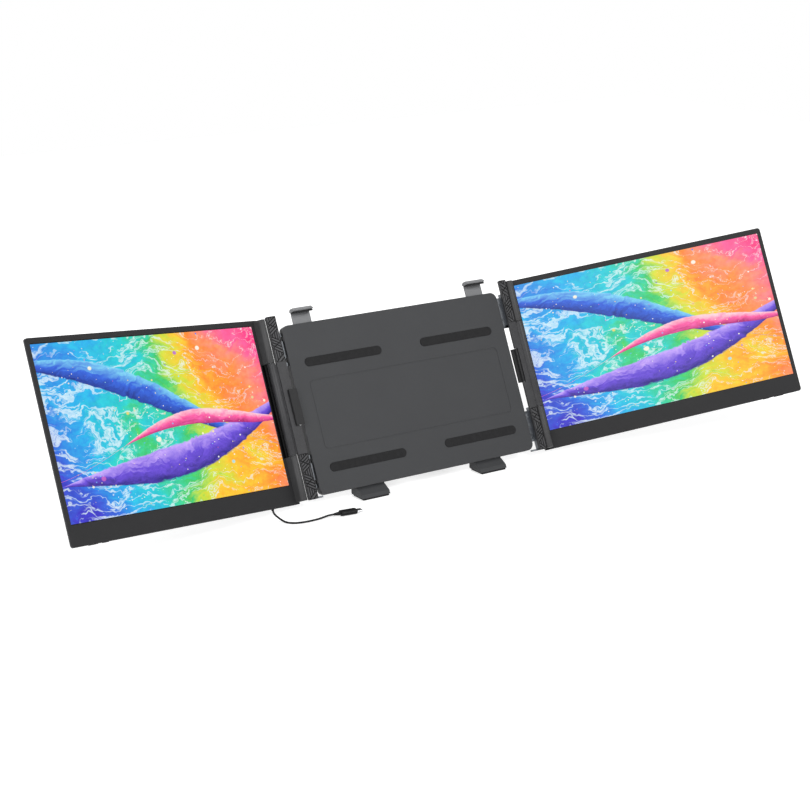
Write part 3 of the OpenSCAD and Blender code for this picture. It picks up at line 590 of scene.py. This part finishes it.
def lit_screen(side):
    """Lit panel behind low-glare cover glass, with a black border outside the lit area."""
    material, tree, shader, place = new_material(
        side + " display, lit panel behind low-glare glass", "#050506", 0.4, ior=1.5, specular=0.2)
    corners = [v.co for v in nodes[side + "_display"].data.vertices]
    centre = sum(corners, Vector()) / len(corners)
    turn = YAW if side == "left" else -YAW
    right = Matrix.Rotation(-LEAN, 3, "X") @ Vector((math.cos(turn), -math.sin(turn), 0))
    away = add(tree, "VectorMath", "SUBTRACT", place, centre)
    reach = [add(tree, "VectorMath", "DOT_PRODUCT", away, direction) for direction in (right, UP_LID)]
    across = add(tree, "Math", "MULTIPLY_ADD", reach[0], 1 / LIT_W, 0.5)
    height = add(tree, "Math", "MULTIPLY_ADD", reach[1], 1 / LIT_H, 0.5)
    inside = None
    for value in (across, height):
        for operation, limit in (("GREATER_THAN", 0.0), ("LESS_THAN", 1.0)):
            test = add(tree, "Math", operation, value, limit)
            inside = add(tree, "Math", "MULTIPLY", inside, test) if inside else test
    lit = add(tree, "Mix", RGBA, inside, "#000000", wallpaper(tree, across, height))
    tree.links.new(lit.outputs[2], shader.inputs["Emission Color"])
    shader.inputs["Emission Strength"].default_value = 1.0
    return material


# ---------------------------------------------------------------- finishes

BEZEL_ABS = moulded_abs("moulded ABS, charcoal", "#2d2d2e", "#28282a", specular=0.15)
COVER_ABS = moulded_abs("moulded ABS, barrel grey", "#3e3e3f", "#373738", roughness=0.46)
HOUSING_ABS = moulded_abs("moulded ABS, housing grey", "#3a3b3d", "#343537")
HOOK_ABS = moulded_abs("moulded ABS, light satin grey", "#7b7c7e", "#6f7072", roughness=0.42, specular=0.45)
CLIP_ABS = moulded_abs("moulded ABS, satin grey", "#2a2a2b", "#252526", roughness=0.5, specular=0.18)
BUTTON_ABS = moulded_abs("moulded ABS, black", "#1e1e1f", "#171718", roughness=0.45)
# the hinge shield and trough are coloured near black: painted shade standing for the shadow in the hollow
# behind the middle barrel
HOLLOW_SHADE_ABS = moulded_abs("moulded ABS, matt black", "#0f0f10", "#0b0b0c", roughness=0.7, specular=0.15)
BAR_PAINT = satin_paint("satin paint on die-cast zinc", "#3d3d3f", "#333335", specular=0.3)
TRIM_ABS = moulded_abs("moulded ABS, satin facets", "#464648", "#39393b", roughness=0.42)
# near black floor between the ridges: painted shade for the occlusion in the grooves
GROOVE_SHADE_ABS = moulded_abs("moulded ABS, painted shade on the floor between the ridges", "#131314", "#0e0e0f", specular=0.15)
COVER_COAT = powder_coat("powder coat on aluminium", "#3f4042", "#38393b")
STAND_COAT = powder_coat("powder coat on steel", "#47484b", "#3e3f42")
RUBBER = silicone_rubber("black silicone rubber", "#1b1b1c", "#2a2a2b")
STEEL = turned_steel("turned steel", "#c2c4c7", "#a5a7aa")
SHEET_STEEL = pressed_steel("pressed zinc-plated steel", "#7b7e82", "#65686c")
BRONZE = sintered_bronze("sintered bronze", "#b58f52", "#6d5228")
NICKEL = plated_nickel("plated nickel", "#cfd0d2", "#b3b4b6")
JACKET = elastomer_jacket("elastomer jacket, black", "#0d0d0e", "#161617")
BOARD = solder_mask("solder mask", "#1f5e3e", "#123c26")
FILM = diffuser_film("diffuser film", "#e8eaec", "#dadcde")

FINISHES = {
    "front_plate": HOUSING_ABS, "rear_shell": HOUSING_ABS, "guide_rods": STEEL, "lid_pads": RUBBER,
    "front_feet": RUBBER, "housing_screws": STEEL, "kickstand": STAND_COAT, "kickstand_pin": STEEL,
    "kickstand_foot": RUBBER, "lead_grommet": JACKET, "lead_plug_shell": NICKEL,
}
SIDE_FINISHES = {
    "hook": HOOK_ABS, "hook_pad": RUBBER, "bar": BAR_PAINT, "slide_arms": SHEET_STEEL, "bushes": BRONZE,
    # the hinge shield and trough take the near black of painted shade
    "hinge_barrel": BAR_PAINT, "hinge_shafts": STEEL, "hinge_shield": HOLLOW_SHADE_ABS, "hinge_trough": HOLLOW_SHADE_ABS,
    "clip": CLIP_ABS, "clip_pin": STEEL, "bezel": BEZEL_ABS, "backlight": FILM, "driver_board": BOARD,
    "rear_cover": COVER_COAT, "hinge_covers": COVER_ABS, "hinge_brackets": SHEET_STEEL, "ports": NICKEL,
    "power_button": BUTTON_ABS, "menu_button": BUTTON_ABS, "cover_screws": STEEL,
}
for side in SIDES:
    FINISHES.update({side + "_" + name: finish for name, finish in SIDE_FINISHES.items()})
    FINISHES[side + "_display"] = lit_screen(side)
    for finish in (TRIM_ABS, GROOVE_SHADE_ABS):
        facet_strips[side].data.materials.append(finish)
    # the screens are shown lit, but they throw no coloured light or reflection on what is beside them
    nodes[side + "_display"].visible_diffuse = False
    nodes[side + "_display"].visible_glossy = False
for name, finish in FINISHES.items():
    nodes[name].data.materials.clear()
    nodes[name].data.materials.append(finish)
for made in (lead, plug):
    made.data.materials.append(JACKET)


# -------------------------------------------------------------- soft edges

# width in millimetres of the edge break on each moulded or painted node
EDGE_BREAKS = {
    "front_plate": 0.4, "rear_shell": 0.5, "kickstand": 0.5, "front_feet": 0.3, "kickstand_foot": 0.3,
}
for side in SIDES:
    EDGE_BREAKS.update({
        side + "_bezel": 0.18, side + "_rear_cover": 0.5, side + "_hook": 0.4, side + "_clip": 0.3,
        side + "_hinge_barrel": 0.25, side + "_hinge_covers": 0.25,
    })


# corners closer than this are one; faces this near to flat are one; edges sharper than this are rounded
WELD_GAP = 0.002 * MM
FLAT_ANGLE = math.radians(0.5)
SHARP_ANGLE = math.radians(32)


def break_edges(node, width_mm):
    """Rounds the sharp edges of a node over a small width."""
    weld = node.modifiers.new("weld", "WELD")
    weld.merge_threshold = WELD_GAP
    flat = node.modifiers.new("flat faces", "DECIMATE")
    flat.decimate_type = "DISSOLVE"
    flat.angle_limit = FLAT_ANGLE
    edge = node.modifiers.new("edge break", "BEVEL")
    edge.width = width_mm * MM
    edge.segments = 2
    edge.limit_method = "ANGLE"
    edge.angle_limit = SHARP_ANGLE
    edge.harden_normals = True


for name, width_mm in EDGE_BREAKS.items():
    break_edges(nodes[name], width_mm)


# -------------------------------------------------------------------- room

ROOM_HALF = 2.6
FLOOR_Z = -0.2 * MM
FLOOR_GLOW = 0.55
WORLD_LEVEL = 0.36
LAMP_AIM = Vector((0, 0, 0.1))
# each lamp: its name, place and width in metres, and power in watts
LAMPS = (
    ("key", (0.5, -2.5, 2.3), 1.5, 45),
    ("left", (-2.4, -1.4, 1.5), 1.6, 31),
    ("back", (0.6, 2.6, 2.4), 2.0, 50),
)


def seen_as_background(tree):
    """1 for the rays that see the plain white room: from the camera, in reflections and through glass."""
    rays = add(tree, "LightPath", None)
    seen = rays.outputs["Is Camera Ray"]
    for kind in ("Is Glossy Ray", "Is Transmission Ray"):
        seen = add(tree, "Math", "MAXIMUM", seen, rays.outputs[kind])
    return seen


def make_floor():
    """White paper that glows a little to the camera and in reflections, and still takes shadows."""
    material = bpy.data.materials.new("floor, white paper")
    material.use_nodes = True
    tree = material.node_tree
    shader = tree.nodes["Principled BSDF"]
    shader.inputs["Base Color"].default_value = linear("#eeeeee")
    shader.inputs["Roughness"].default_value = 0.9
    shader.inputs["Specular IOR Level"].default_value = 0.0
    seen = seen_as_background(tree)
    glow = add(tree, "AddShader", None, shader, add(tree, "Emission", None, "#ffffff", FLOOR_GLOW))
    mix = add(tree, "MixShader", None, seen, shader, glow)
    tree.links.new(mix.outputs[0], tree.nodes["Material Output"].inputs["Surface"])
    mesh = bpy.data.meshes.new("floor")
    corners = ((-1, -1), (1, -1), (1, 1), (-1, 1))
    mesh.from_pydata([(x * ROOM_HALF, y * ROOM_HALF, FLOOR_Z) for x, y in corners], [], [(0, 1, 2, 3)])
    mesh.materials.append(material)
    floor = bpy.data.objects.new("floor", mesh)
    bpy.context.scene.collection.objects.link(floor)


def make_world():
    """Even light from all round, and plain white behind everything."""
    world = bpy.data.worlds.new("studio")
    bpy.context.scene.world = world
    world.use_nodes = True
    tree = world.node_tree
    background = tree.nodes["Background"]
    background.inputs["Color"].default_value = (1, 1, 1, 1)
    background.inputs["Strength"].default_value = WORLD_LEVEL
    seen = seen_as_background(tree)
    white = add(tree, "Background", None, "#ffffff", 1.0)
    mix = add(tree, "MixShader", None, seen, background, white)
    tree.links.new(mix.outputs[0], tree.nodes["World Output"].inputs["Surface"])


def add_lamp(name, place, size, power):
    """A round soft lamp, aimed at the middle of the object."""
    data = bpy.data.lights.new(name, "AREA")
    data.shape = "DISK"
    data.size = size
    data.energy = power
    lamp = bpy.data.objects.new(name, data)
    lamp.location = place
    lamp.rotation_mode = "QUATERNION"
    lamp.rotation_quaternion = (LAMP_AIM - Vector(place)).to_track_quat("-Z", "Y")
    bpy.context.scene.collection.objects.link(lamp)


make_floor()
make_world()
for lamp in LAMPS:
    add_lamp(*lamp)
bpy.context.scene.view_settings.view_transform = "Standard"
